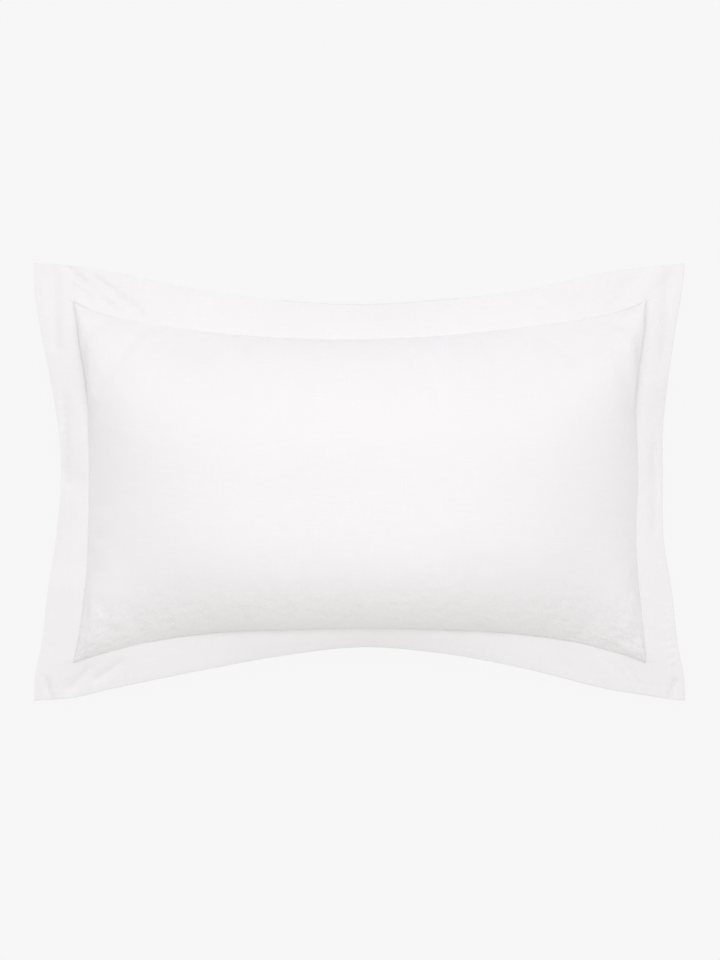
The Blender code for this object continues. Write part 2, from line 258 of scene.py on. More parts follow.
def outward(surface, u, v, step=0.002):
    """The direction square to a surface, away from the filling."""
    low_u, high_u = max(u - step, -1), min(u + step, 1)
    low_v, high_v = max(v - step, -1), min(v + step, 1)
    across = (surface(high_u, v) - surface(low_u, v)).cross(surface(u, high_v) - surface(u, low_v))
    up = 1 if surface is face_point else -1
    return across.normalized() * up


# %% Even steps over a rounded panel
# Cloth is woven evenly, so equal steps of the flat cut must be equal steps along the
# rounded section, not in plan.
def even_steps(section):
    """A function from a share of the cut, -1 to 1, to the place on the section."""
    walks = {}
    for side in (-1, 1):
        places = [side * (1 - (1 - k / 400) ** 2) for k in range(401)]
        points = [section(place) for place in places]
        lengths = [0.0]
        for first, second in zip(points, points[1:]):
            lengths.append(lengths[-1] + (second - first).length)
        walks[side] = places, lengths

    def place_at(share):
        if abs(share) > 1 - 1e-6:
            return copysign(1.0, share)
        places, lengths = walks[1 if share > 0 else -1]
        wanted = abs(share) * lengths[-1]
        after = max(bisect_left(lengths, wanted), 1)
        part = (wanted - lengths[after - 1]) / (lengths[after] - lengths[after - 1])
        return places[after - 1] + (places[after] - places[after - 1]) * part

    return place_at


face_u, face_v = even_steps(lambda u: face_point(u, 0)), even_steps(lambda v: face_point(0, v))
back_u, back_v = even_steps(lambda u: back_point(u, 0)), even_steps(lambda v: back_point(0, v))

# %% [markdown]
# ## Starting each piece as flat cloth
#
# Every piece starts as a grid cut to its real flat size, and each corner of its faces
# keeps its flat place as its UV, in metres. Whatever the cloth is then bent into, the weave
# follows the threads of the cut.

# %% A flat cut of cloth with its threads as UV
CLOTH_UV = "threads"


def deselect():
    if bpy.context.object and bpy.context.object.mode != "OBJECT":
        bpy.ops.object.mode_set(mode="OBJECT")
    bpy.ops.object.select_all(action="DESELECT")


def only(piece):
    deselect()
    piece.select_set(True)
    bpy.context.view_layer.objects.active = piece


def flat_cut(name, length, width, cells):
    deselect()
    bpy.ops.mesh.primitive_grid_add(x_subdivisions=cells[0], y_subdivisions=cells[1], size=1)
    piece = bpy.context.object
    piece.name = piece.data.name = name
    piece.scale = (length, width, 1)
    bpy.ops.object.transform_apply(location=False, rotation=False, scale=True)
    keep_threads(piece)
    return piece


def keep_threads(piece):
    """Write each vertex's present place as the UV of the corners that meet there."""
    mesh = piece.data
    layer = mesh.uv_layers.active or mesh.uv_layers.new()
    layer.name = CLOTH_UV
    for loop in mesh.loops:
        layer.data[loop.index].uv = mesh.vertices[loop.vertex_index].co.xy


def apply_modifiers(piece):
    only(piece)
    for modifier in list(piece.modifiers):
        bpy.ops.object.modifier_apply(modifier=modifier.name)


def count(piece):
    triangles = sum(len(face.vertices) - 2 for face in piece.data.polygons)
    print(f"{piece.name}: {len(piece.data.vertices)} vertices, {triangles} triangles")


# %% [markdown]
# ## The face: a cloth simulation for its gathers
#
# A sewn panel has a little more cloth than the form under it, and that ease gathers in
# short soft puckers beside the stitch line. They are hard to draw but easy to simulate: the
# face starts on its form, its seam is pinned, the cloth is given some ease and a light
# pressure. Pressure also swells the whole panel, so only the fine part of each point's
# movement is kept and laid back on the form, with a limit on how far a point may go.

# %% The face as cloth on its form
FACE_CELLS = (120, 80)
face = flat_cut("filled_case", PANEL_LENGTH, PANEL_WIDTH, FACE_CELLS)
seam_ring = face.vertex_groups.new(name="seam")
form = []
cut_places = [vert.co.copy() for vert in face.data.vertices]
for vert in face.data.vertices:
    share_u, share_v = vert.co.x / (PANEL_LENGTH / 2), vert.co.y / (PANEL_WIDTH / 2)
    u, v = face_u(share_u), face_v(share_v)
    form.append((face_point(u, v), outward(face_point, u, v), u, v))
    if abs(u) == 1 or abs(v) == 1:
        seam_ring.add([vert.index], 1.0, "REPLACE")
for vert, (place, _, _, _) in zip(face.data.vertices, form):
    vert.co = place
count(face)

# %% Simulate the ease
EASE = 0.030                  # more cloth than form, as a share
PRESSURE = 40
FRAMES = 16
BROAD_PASSES = 12             # how often the heights are averaged to find the broad part


def gather(piece):
    """Run the cloth for a few frames and return where each vertex went."""
    cloth = piece.modifiers.new("ease", "CLOTH")
    settings = cloth.settings
    settings.quality = 6
    settings.mass = 0.02
    settings.tension_stiffness = settings.compression_stiffness = 15
    settings.shear_stiffness = 5
    settings.bending_stiffness = 0.1
    settings.shrink_min = settings.shrink_max = -EASE
    settings.use_pressure = True
    settings.uniform_pressure_force = PRESSURE
    settings.effector_weights.gravity = 0
    settings.vertex_group_mass = "seam"
    cloth.collision_settings.use_collision = False
    cloth.point_cache.frame_end = FRAMES
    for step in range(1, FRAMES + 1):
        bpy.context.scene.frame_set(step)
    seen = piece.evaluated_get(bpy.context.evaluated_depsgraph_get())
    moved = [vert.co.copy() for vert in seen.data.vertices]
    bpy.context.scene.frame_set(1)
    piece.modifiers.remove(cloth)
    return moved


def smooth_out(heights, columns, rows, times):
    """Average a grid of heights with its neighbours, along rows, then columns, many times."""
    places, last_row = range(columns * rows), columns * (rows - 1)
    for _ in range(times):
        wide = []
        for i in places:
            before, after = i - (i % columns > 0), i + (i % columns < columns - 1)
            wide.append((heights[before] + heights[i] + heights[after]) / 3)
        heights = []
        for i in places:
            below, above = max(i - columns, i % columns), min(i + columns, last_row + i % columns)
            heights.append((wide[below] + wide[i] + wide[above]) / 3)
    return heights


columns, rows = FACE_CELLS[0] + 1, FACE_CELLS[1] + 1
moved = gather(face)
lift = [(there - place).dot(normal) for there, (place, normal, _, _) in zip(moved, form)]
broad = smooth_out(lift, columns, rows, BROAD_PASSES)
pucker = [high - low for high, low in zip(lift, broad)]
print("puckers, mm:", round(min(pucker) / MM, 2), "to", round(max(pucker) / MM, 2))

# %% Lay the gathers back on the form
PUCKER_SHARE = 0.55
PUCKER_LIMIT = 3.0 * MM
PUCKER_FREE = 16 * MM         # how far from the seam a pucker reaches its full height
for vert, (place, normal, u, v), height in zip(face.data.vertices, form, pucker):
    cut = cut_places[vert.index]
    from_seam = min(PANEL_LENGTH / 2 - abs(cut.x), PANEL_WIDTH / 2 - abs(cut.y))
    free = min(max(from_seam / PUCKER_FREE, 0), 1)
    height = min(max(height * PUCKER_SHARE, -PUCKER_LIMIT), PUCKER_LIMIT)
    vert.co = place + normal * height * free * free * (3 - 2 * free)

# %% [markdown]
# ## The underside and the closed body
#
# The underside is a second grid of the same cut on the lower form. Both skins end on the
# same stitch line, so joining them and merging their rims closes the case, and a
# creased edge keeps that seam sharp when one level of subdivision smooths the rest.

# %% Close the filled case
MERGE_WITHIN = 0.02 * MM
underside = flat_cut("underside", PANEL_LENGTH, PANEL_WIDTH, FACE_CELLS)
for vert in underside.data.vertices:
    u = back_u(vert.co.x / (PANEL_LENGTH / 2))
    v = back_v(vert.co.y / (PANEL_WIDTH / 2))
    if abs(u) == 1 or abs(v) == 1:
        vert.co = face.data.vertices[vert.index].co
    else:
        vert.co = back_point(u, v)
only(underside)
bpy.ops.object.mode_set(mode="EDIT")
bpy.ops.mesh.select_all(action="SELECT")
bpy.ops.mesh.flip_normals()
bpy.ops.object.mode_set(mode="OBJECT")

only(face)
underside.select_set(True)
bpy.ops.object.join()
bpy.ops.object.mode_set(mode="EDIT")
bpy.ops.mesh.select_all(action="SELECT")
bpy.ops.mesh.remove_doubles(threshold=MERGE_WITHIN)
bpy.ops.mesh.select_all(action="DESELECT")
bpy.ops.object.vertex_group_set_active(group="seam")
bpy.ops.object.vertex_group_select()
bpy.ops.transform.edge_crease(value=1)
bpy.ops.mesh.mark_sharp()
bpy.ops.object.mode_set(mode="OBJECT")
smooth = face.modifiers.new("smooth", "SUBSURF")
smooth.levels = smooth.render_levels = 1
apply_modifiers(face)
bpy.ops.object.shade_smooth()
count(face)

# %% [markdown]
# ## The flange
#
# The flange is the margin of the flat cut, so its grid lines run straight through the
# corners as the threads do. It hangs from the stitch line to a lower outer edge, lifts in
# a soft roll on the way, and carries the creases that the drawn-in corners push into it.
# Along its outer edge the seam allowance is turned in, which shows as a low ridge
# with small puckers.

# %% Creases across the flange, in mm
# Each runs straight from its outer to its inner place. Lift is its height, or its depth
# where it is below 0, and reach is about half its width.
Fold = namedtuple("Fold", "outer_x outer_y inner_x inner_y lift reach")
FLANGE_FOLDS = [
    Fold(-361, 262, -311, 221, -2.5, 6),
    Fold(-354, 250, -293, 216, 2.2, 4),
    Fold(-328, 254, -271, 212, -2.4, 5),
    Fold(-345, 236, -336, 229, -1.5, 4),
    Fold(350, 259, 313, 225, -2.5, 9),
    Fold(376, 262, 352, 232, 2.0, 9),
    Fold(-362, -258, -338, -233, -3.0, 8),
    Fold(-328, -246, -299, -226, -2.5, 8),
    Fold(-392, -246, -387, -270, -2.0, 4),
    Fold(395, -250, 389, -268, -2.0, 4),
    Fold(322, -262, 300, -212, 2.2, 12),
    Fold(262, -245, 250, -200, -2.5, 14),
    Fold(206, -232, 200, -190, 1.8, 14),
    Fold(-214, 240, -200, 190, 1.8, 16),
    Fold(-120, 228, -112, 184, -1.8, 18),
    Fold(124, 230, 118, 186, 1.8, 18),
    Fold(-375, 8, -338, 4, -5.0, 24),
    Fold(-388, -132, -343, -118, 2.5, 22),
    Fold(380, 2, 342, 6, -4.0, 26),
    Fold(388, 130, 350, 118, 2.0, 22),
]
FINE_CREASES = [
    Fold(-366, 270, -312, 223, -1.8, 3.0),
    Fold(-336, 260, -272, 213, -1.8, 3.0),
    Fold(-346, 236, -337, 226, -1.2, 2.6),
    Fold(-352, 250, -318, 231, 1.0, 4.0),
    Fold(-383, 262, -379, 170, -2.6, 8),
    Fold(387, 258, 381, 160, -2.2, 8),
    Fold(-369, 104, -367, 2, -2.6, 6),
    Fold(368, 40, 370, -60, -2.2, 6),
    Fold(-391, -250, -387, -272, -1.4, 2.6),
    Fold(394, -248, 389, -268, -1.2, 2.6),
    Fold(330, 233, 306, 215, -1.1, 2.8),
    Fold(318, 231, 294, 212, 0.9, 3.0),
    Fold(303, 218, 280, 206, -1.1, 2.8),
    Fold(352, 239, 337, 224, -1.0, 2.6),
    Fold(-362, -258, -338, -233, -1.2, 2.8),
    Fold(-328, -246, -299, -226, -1.0, 2.8),
    Fold(350, -252, 334, -232, -1.0, 2.8),
    Fold(328, -240, 306, -222, -0.9, 2.8),
]
FOLD_FULL_AT = 0.7            # place across the flange from which a broad fold is full
CREASE_FULL_AT = 0.25         # and a fine crease


def fold_lift(x, y, across):
    """Sum the creases that pass near a place; they fade out at the stitch line."""
    total = 0
    for folds, full_at in ((FLANGE_FOLDS, FOLD_FULL_AT), (FINE_CREASES, CREASE_FULL_AT)):
        fade = sin(min(across / full_at, 1) * pi / 2)
        for fold in folds:
            ax, ay = fold.outer_x * MM, fold.outer_y * MM
            bx, by = fold.inner_x * MM - ax, fold.inner_y * MM - ay
            t = min(max(((x - ax) * bx + (y - ay) * by) / (bx * bx + by * by), 0), 1)
            away = hypot(x - ax - t * bx, y - ay - t * by) / (fold.reach * MM)
            total += fold.lift * MM * exp(-away * away) * fade
    return total


# %% The flange's middle surface
TUCKED_IN = 2.0 * MM          # how far its inner edge goes into the stitched seam
SEAM_DIP = 0.45 * MM          # and how far down, so that its upper side meets the panel
STITCH_REACH = 2.5 * MM       # how far out from the seam the stitches still hold it down
UNDER_SWELL = 0.4             # share of the panel's swell that presses the flange down
SWELL_REACH = 1.3             # how far out the swell presses it, as a share of the swell


def edge_point(u, v, side):
    x, y = plan_point(u, v, "edge", EDGE_LENGTH, EDGE_WIDTH)
    middle = SIDES[side].edge_height * MM
    wave = SIDES[side].edge_wave * MM * sin(pi * u * v) ** 2
    height = EDGE_HEIGHT_CORNER + (middle - EDGE_HEIGHT_CORNER) * (1 - (u * v) ** 2)
    return Vector((x, y, height + wave))


def corner_patch(seam, u, v, over_u, over_v):
    """Fill a corner of the flange between the seam's corner and the two outer edges."""
    side_u, out_u = ("right", 1) if u > 0 else ("left", -1)
    side_v, out_v = ("top", 1) if v > 0 else ("bottom", -1)
    beside = edge_point(out_u, out_v * PANEL_WIDTH / (PANEL_WIDTH + 2 * FLANGE_WIDTH), side_u)
    above = edge_point(out_u * PANEL_LENGTH / (PANEL_LENGTH + 2 * FLANGE_WIDTH), out_v, side_v)
    tip = edge_point(out_u, out_v, side_u)
    across_u = seam.lerp(beside, over_u).lerp(edge_point(u, out_v, side_v), over_v)
    across_v = seam.lerp(above, over_v).lerp(edge_point(out_u, v, side_u), over_u)
    straight = seam.lerp(beside, over_u).lerp(above.lerp(tip, over_u), over_v)
    return across_u + across_v - straight


def flange_point(a, b):
    """Where the flat cloth's place (a, b) hangs, and how far across the flange it is."""
    half_length, half_width = PANEL_LENGTH / 2, PANEL_WIDTH / 2
    side_a, out_a = ("right", 1) if a > 0 else ("left", -1)
    side_b, out_b = ("top", 1) if b > 0 else ("bottom", -1)
    over_a = max(round((abs(a) - half_length) / FLANGE_WIDTH, 4), 0)
    over_b = max(round((abs(b) - half_width) / FLANGE_WIDTH, 4), 0)
    inner_u = min(max(round(a / half_length, 5), -1), 1)
    inner_v = min(max(round(b / half_width, 5), -1), 1)
    seam = seam_point(inner_u, inner_v)
    seam.x -= out_a * TUCKED_IN * (abs(inner_u) == 1)
    seam.y -= out_b * TUCKED_IN * (abs(inner_v) == 1)

    u, v = a / (half_length + FLANGE_WIDTH), b / (half_width + FLANGE_WIDTH)
    if over_a and over_b:
        point, lift = corner_patch(seam, u, v, over_a, over_b), 0
    elif over_a:
        point = seam.lerp(edge_point(out_a, v, side_a), over_a)
        lift = SIDES[side_a].flange_lift * (1 - inner_v ** 2)
        swell = table_value(SHORT_SIDES, side_a + "_swell", inner_v)
        reach = SWELL_REACH * swell + 1 * MM
        point.z -= UNDER_SWELL * swell * exp(-(over_a * FLANGE_WIDTH / reach) ** 2)
    else:
        point = seam.lerp(edge_point(u, out_b, side_b), over_b)
        lift = SIDES[side_b].flange_lift * (1 - inner_u ** 2)
    across = max(over_a, over_b)
    point.z += lift * MM * sin(pi * across) + fold_lift(point.x, point.y, across)
    point.z -= SEAM_DIP * exp(-(across * FLANGE_WIDTH / STITCH_REACH) ** 2)
    return point, across


# %% Small unevenness of sewn cloth
WAVE_LIFT = 1.4 * MM
TURNED_IN_WIDTH = 12 * MM     # the seam allowance inside the outer edge
TURNED_IN_LIFT = 0.45 * MM
LAYER_STEP = 1.5 * MM         # how softly the cloth steps down from a second layer
PUCKER_LIFT = 0.8 * MM
PUCKER_PITCH = 11 * MM
PUCKER_REACH = 5 * MM
FLANGE_THICK = 1.6 * MM
PRESSED = 0.55                # share of the thickness that the stitches take away


def cut_noise(a, b, fineness, layer):
    """Smooth noise over the flat cut, around 0; each layer is a different one."""
    return noise.noise(Vector((a * fineness, b * fineness, layer)))


def sewn_unevenness(a, b, across):
    """Slow waves over the whole flange, and short puckers along the turned-in seam."""
    waves = cut_noise(a, b, 14, 3.1) * WAVE_LIFT * across
    from_edge = (1 - across) * FLANGE_WIDTH
    run = a if abs(b) > PANEL_WIDTH / 2 else b
    beat = sin(2 * pi * (run / PUCKER_PITCH + 0.8 * cut_noise(a, b, 30, 8.0)))
    strength = 0.5 + cut_noise(a, b, 9, 5.0)
    near_seam = exp(-((from_edge - TURNED_IN_WIDTH) / PUCKER_REACH) ** 2)
    return waves + beat * max(strength, 0) * PUCKER_LIFT * near_seam


def half_thickness(across):
    """Pressed thin by the stitches, thicker where the seam allowance is turned in."""
    from_edge, from_seam = (1 - across) * FLANGE_WIDTH, across * FLANGE_WIDTH
    turned_in = TURNED_IN_LIFT * (1 - tanh((from_edge - TURNED_IN_WIDTH) / LAYER_STEP)) / 2
    pressed = PRESSED * exp(-(from_seam / STITCH_REACH) ** 2)
    return FLANGE_THICK / 2 * (1 - pressed) + turned_in


# %% Cut, thicken and hang the flange
FLANGE_CELL = 2.5 * MM
outer_length, outer_width = PANEL_LENGTH + 2 * FLANGE_WIDTH, PANEL_WIDTH + 2 * FLANGE_WIDTH
flange_cells = round(outer_length / FLANGE_CELL), round(outer_width / FLANGE_CELL)
flange = flat_cut("flange_cloth", outer_length, outer_width, flange_cells)


def select_faces(piece, test):
    """Select the faces whose centre passes the test, in edit mode's face select."""
    only(piece)
    for polygon in piece.data.polygons:
        polygon.select = test(polygon.center)
    for edge in piece.data.edges:
        edge.select = False
    for vert in piece.data.vertices:
        vert.select = False
    bpy.context.tool_settings.mesh_select_mode = (False, False, True)
    bpy.ops.object.mode_set(mode="EDIT")


def in_panel(centre):
    return abs(centre.x) < PANEL_LENGTH / 2 and abs(centre.y) < PANEL_WIDTH / 2


select_faces(flange, in_panel)
bpy.ops.mesh.delete(type="FACE")
bpy.ops.mesh.select_all(action="SELECT")
bpy.ops.mesh.extrude_region_move(TRANSFORM_OT_translate={"value": (0, 0, FLANGE_THICK)})
bpy.ops.object.mode_set(mode="OBJECT")

for vert in flange.data.vertices:
    a, b, upper = vert.co.x, vert.co.y, vert.co.z > FLANGE_THICK / 2
    point, across = flange_point(a, b)
    point.z += sewn_unevenness(a, b, across)
    point.z += half_thickness(across) * (1 if upper else -1)
    vert.co = point
count(flange)

# %% Round the flange's rims
only(flange)
bpy.ops.object.mode_set(mode="EDIT")
bpy.ops.mesh.select_all(action="SELECT")
bpy.ops.mesh.normals_make_consistent(inside=False)
bpy.ops.object.mode_set(mode="OBJECT")
rim = flange.modifiers.new("rim", "BEVEL")
rim.width = 0.5 * MM
rim.segments = 2
rim.limit_method = "ANGLE"
rim.angle_limit = radians(50)
rim.harden_normals = True
apply_modifiers(flange)
bpy.ops.object.shade_smooth()
count(flange)

# %% [markdown]
# ## The back panel
#
# The back isn't in the photograph. Such a case is closed by an envelope back: the back
# panel stops short of one short side in its own hem, and the pillow goes in under it. The
# sheet follows the underside closely and lies flat on the floor.

# %% Cut and lay the back panel
BACK_THICK = 1.6 * MM
OPENING_AT = 0.876            # place of the free edge along the half length
HEM_WIDTH = 25 * MM
HEM_LIFT = 0.5 * MM
HEM_FLATTENS = 2 * MM         # the height above the floor from which the hem stands full
OUTER_SKIN = GAP + 2.0 * MM   # from the filling to the cloth's outer side
BACK_CELLS = (150, 100)
back = flat_cut("back_panel_cloth", PANEL_LENGTH, PANEL_WIDTH, BACK_CELLS)
column_places = [back_u(2 * k / BACK_CELLS[0] - 1) for k in range(BACK_CELLS[0])]
free_edge = next(k for k, place in enumerate(column_places) if place >= OPENING_AT)
free_edge_at = (free_edge / BACK_CELLS[0] - 0.5) * PANEL_LENGTH


def left_out(centre):
    """The cells beside the seam, and all beyond the free edge."""
    beside_seam = abs(centre.y) > PANEL_WIDTH / 2 * (1 - 2 / BACK_CELLS[1])
    beside_seam = beside_seam or centre.x < -PANEL_LENGTH / 2 * (1 - 2 / BACK_CELLS[0])
    return beside_seam or centre.x > free_edge_at


select_faces(back, left_out)
bpy.ops.mesh.delete(type="FACE")
bpy.ops.mesh.select_all(action="SELECT")
bpy.ops.mesh.extrude_region_move(TRANSFORM_OT_translate={"value": (0, 0, BACK_THICK)})
bpy.ops.object.mode_set(mode="OBJECT")
for vert in back.data.vertices:
    inner = vert.co.z > BACK_THICK / 2
    u = back_u(vert.co.x / (PANEL_LENGTH / 2))
    v = back_v(vert.co.y / (PANEL_WIDTH / 2))
    place, away = back_point(u, v), outward(back_point, u, v)
    hem = (1 + tanh((vert.co.x - free_edge_at + HEM_WIDTH) / LAYER_STEP)) / 2
    hem *= HEM_LIFT * min(max((place.z - BACK_LEVEL) / HEM_FLATTENS, 0), 1)
    vert.co = place + away * (OUTER_SKIN - BACK_THICK if inner else OUTER_SKIN + hem)
only(back)
bpy.ops.object.mode_set(mode="EDIT")
bpy.ops.mesh.select_all(action="SELECT")
bpy.ops.mesh.normals_make_consistent(inside=False)
bpy.ops.object.mode_set(mode="OBJECT")
bpy.ops.object.shade_smooth()
count(back)

# %% [markdown]
# ## Stitches
#
# One line of topstitching holds the flange, just outside the filled panel, and another
# holds the back panel's hem. A stitch is modelled once, as a small rounded bead, and
# copied along the line, tilted with the cloth.

# %% One stitch, copied along a line
STITCH_LENGTH = 2.3 * MM
STITCH_PITCH = 3.0 * MM
STITCH_THICK = 0.45 * MM

deselect()
bpy.ops.mesh.primitive_uv_sphere_add(segments=6, ring_count=4, radius=0.5)
bead = bpy.context.object
bead.rotation_euler = (0, pi / 2, 0)
bead.scale = (STITCH_THICK, STITCH_THICK, STITCH_LENGTH)
bpy.ops.object.transform_apply(location=False, rotation=True, scale=True)


def stitch_line(name, points, normals, closed):
    """Set the bead at even steps along a line of points."""
    ends = points + points[:1] if closed else points
    lengths = [0.0]
    for first, second in zip(ends, ends[1:]):
        lengths.append(lengths[-1] + (second - first).length)
    stitches = int(lengths[-1] / STITCH_PITCH)
    verts, faces = [], []
    for k in range(stitches):
        wanted = (k + 0.5) * lengths[-1] / stitches
        after = max(bisect_left(lengths, wanted), 1)
        first, second = ends[after - 1], ends[after]
        part = (wanted - lengths[after - 1]) / (lengths[after] - lengths[after - 1])
        forward = (second - first).normalized()
        up = normals[(after - 1) % len(normals)]
        side = up.cross(forward).normalized()
        turn = Matrix((forward, side, forward.cross(side))).transposed()
        start = len(verts)
        centre = first.lerp(second, part)
        verts += [centre + turn @ vert.co for vert in bead.data.vertices]
        faces += [[start + i for i in face.vertices] for face in bead.data.polygons]
    mesh = bpy.data.meshes.new(name)
    mesh.from_pydata(verts, [], faces)
    mesh.shade_smooth()
    piece = bpy.data.objects.new(name, mesh)
    bpy.context.scene.collection.objects.link(piece)
    print(name, stitches, "stitches")
    return piece


# %% The topstitching round the panel
STITCH_INSET = 1.4 * MM       # from the stitch line out onto the flange
SEAM_STEP = 4 * MM


def flange_top(a, b):
    point, across = flange_point(a, b)
    point.z += sewn_unevenness(a, b, across) + half_thickness(across)
    return point


def round_the_panel(inset, step):
    """Places of the flat cloth round the panel, counter-clockwise, a little outside it."""
    half_a, half_b = PANEL_LENGTH / 2 + inset, PANEL_WIDTH / 2 + inset
    corners = [(-half_a, -half_b), (half_a, -half_b), (half_a, half_b), (-half_a, half_b)]
    places = []
    for (a, b), (c, d) in zip(corners, corners[1:] + corners[:1]):
        steps = round(hypot(c - a, d - b) / step)
        places += [(a + (c - a) * k / steps, b + (d - b) * k / steps) for k in range(steps)]
    return places


seam_places = round_the_panel(STITCH_INSET, SEAM_STEP)
seam_points = [flange_top(a, b) for a, b in seam_places]
seam_normals = []
for a, b in seam_places:
    east = flange_top(a + 1 * MM, b) - flange_top(a, b)
    north = flange_top(a, b + 1 * MM) - flange_top(a, b)
    seam_normals.append(east.cross(north).normalized())
topstitching = stitch_line("topstitching", seam_points, seam_normals, closed=True)

# %% The hem's stitching on the back
HEM_STITCH_AT = free_edge_at - HEM_WIDTH + 3 * MM
HEM_STITCH_SPAN = 0.985       # how much of the panel's width the line crosses
HEM_STEPS = 120
hem_points, hem_normals = [], []
u = back_u(HEM_STITCH_AT / (PANEL_LENGTH / 2))
for k in range(1, HEM_STEPS):
    v = back_v((2 * k / HEM_STEPS - 1) * HEM_STITCH_SPAN)
    away = outward(back_point, u, v)
    hem_points.append(back_point(u, v) + away * (OUTER_SKIN + HEM_LIFT))
    hem_normals.append(away)
hem_stitching = stitch_line("hem_stitching", hem_points, hem_normals, closed=False)
bpy.data.objects.remove(bead, do_unlink=True)

# %% [markdown]
# ## Materials
#
# Shader maths reads best as plain sums. A small class wraps a socket, and each operator on it
# adds one Math node. One more method adds any other node with its settings and inputs.

# %% Sums on sockets
class Amount:
    """A socket of a material that Python can do sums with."""

    def __init__(self, finish, socket):
        self.finish, self.socket = finish, socket

    def maths(self, operation, *values):
        return self.finish.node("ShaderNodeMath", {"operation": operation}, dict(enumerate(values)))

    def __add__(self, other):
        return self.maths("ADD", self, other)

    def __sub__(self, other):
        return self.maths("SUBTRACT", self, other)

    def __rsub__(self, other):
        return self.maths("SUBTRACT", other, self)

    def __mul__(self, other):
        return self.maths("MULTIPLY", self, other)

    def sine(self):
        return self.maths("SINE", self)

    def size(self):
        return self.maths("ABSOLUTE", self)

    def power(self, exponent):
        return self.maths("POWER", self, exponent)

    def clear_of(self, low, high):
        """0 at low and before it, 1 at high and past it; low may be above or below high."""
        settings = {"interpolation_type": "SMOOTHSTEP"}
        inputs = {"Value": self, "From Min": low, "From Max": high, "To Min": 0.0, "To Max": 1.0}
        return self.finish.node("ShaderNodeMapRange", settings, inputs)

    __radd__, __rmul__ = __add__, __mul__


class Finish:
    """The nodes of one material, or of the world."""

    def __init__(self, owner):
        self.owner = owner
        owner.use_nodes = True
        self.tree = owner.node_tree
        self.tree.nodes.clear()

    def node(self, kind, settings=None, inputs=None, output=0):
        """Add a node: first its settings, or a ramp's two stops, then its values and links."""
        made = self.tree.nodes.new(kind)
        settings = dict(settings or {})
        for stop, (place, colour) in enumerate(settings.pop("stops", ())):
            made.color_ramp.interpolation = "EASE"
            made.color_ramp.elements[stop].position = place
            made.color_ramp.elements[stop].color = colour
        for setting, value in settings.items():
            setattr(made, setting, value)
        for name, value in (inputs or {}).items():
            if isinstance(value, Amount):
                self.tree.links.new(value.socket, made.inputs[name])
            else:
                made.inputs[name].default_value = value
        return Amount(self, made.outputs[output])

    def out(self, shader, kind="ShaderNodeOutputMaterial"):
        end = self.tree.nodes.new(kind)
        self.tree.links.new(shader.socket, end.inputs["Surface"])
        return self.owner


# %% [markdown]
# ## Washed linen
#
# The photograph shows plain-woven white cloth with slubs: short thicker stretches of thread
# that run both ways and catch a little light. The weave itself is finer than a pixel of
# the photograph, but it shows as soon as one comes closer. Washing leaves a fine crumple.
# All of it follows the thread UV, so it turns round every curve as real cloth does.

# %% The linen's nodes
THREAD_PITCH = 0.62 * MM
LINEN = (0.895, 0.888, 0.894)
LOW_THIRD_FROM, LOW_THIRD_FULL = -0.10, -0.16     # metres from the middle of the cut


def stretched_noise(finish, threads, along, across, detail, seed):
    """Noise drawn out along one thread direction, from 0 to 1."""
    place = finish.node(
        "ShaderNodeMapping", {"vector_type": "POINT"},
        {"Vector": threads, "Scale": (along, across, 1), "Location": (seed, seed / 2, 0)},
    )
    return finish.node(
        "ShaderNodeTexNoise", {"noise_dimensions": "2D"},
        {"Vector": place, "Scale": 1.0, "Detail": detail, "Roughness": 0.55},
    )


def washed_linen(name, crumple=1.0, crumpled_low=0.0):
    """The cloth; crumple sets its folds' depth, and crumpled_low deepens them low on the face."""
    finish = Finish(bpy.data.materials.new(name))
    threads = finish.node("ShaderNodeUVMap", {"uv_map": CLOTH_UV})
    warp = finish.node("ShaderNodeSeparateXYZ", inputs={"Vector": threads}, output="X")
    weft = finish.node("ShaderNodeSeparateXYZ", inputs={"Vector": threads}, output="Y")

    over_under = (warp * (pi / THREAD_PITCH)).sine() * (weft * (pi / THREAD_PITCH)).sine()
    thread_round = over_under.size().power(0.6)

    long_slubs = stretched_noise(finish, threads, along=28, across=900, detail=2.0, seed=3.0)
    tall_slubs = stretched_noise(finish, threads, along=900, across=28, detail=2.0, seed=17.0)
    slubs = long_slubs.clear_of(0.56, 0.78) + tall_slubs.clear_of(0.58, 0.80) * 0.8

    small_crumple = stretched_noise(finish, threads, along=95, across=70, detail=3.0, seed=41.0)
    broad_crumple = stretched_noise(finish, threads, along=26, across=34, detail=2.0, seed=71.0)
    mottle = stretched_noise(finish, threads, along=9, across=9, detail=3.0, seed=29.0)
    low_third = weft.clear_of(LOW_THIRD_FROM, LOW_THIRD_FULL) * crumpled_low

    # Mottle and slubs are the cloth's own tone; the gaps between threads are darker by a painted
    # shade.
    shade = 0.972 + mottle * 0.03 + slubs * 0.032 - (1 - thread_round) * 0.03
    colour = finish.node("ShaderNodeVectorMath", {"operation": "SCALE"}, {0: LINEN, "Scale": shade})
    roughness = 0.86 + (small_crumple - 0.5) * 0.08 - slubs * 0.04

    height = slubs * 0.15 + thread_round * 0.05
    weave_bump = finish.node(
        "ShaderNodeBump", None, {"Height": height, "Strength": 0.55, "Distance": 1 * MM},
    )
    folds = (small_crumple * (0.35 + low_third * 2.2) + broad_crumple * 1.1) * crumple
    bump = finish.node(
        "ShaderNodeBump", None,
        {"Height": folds, "Strength": 0.8, "Distance": 1 * MM, "Normal": weave_bump},
    )
    shader = finish.node(
        "ShaderNodeBsdfPrincipled", None,
        {
            "Base Color": colour, "Roughness": roughness, "Normal": bump, "IOR": 1.45,
            "Specular IOR Level": 0.25, "Sheen Weight": 0.12, "Sheen Roughness": 0.6,
        },
    )
    return finish.out(shader)


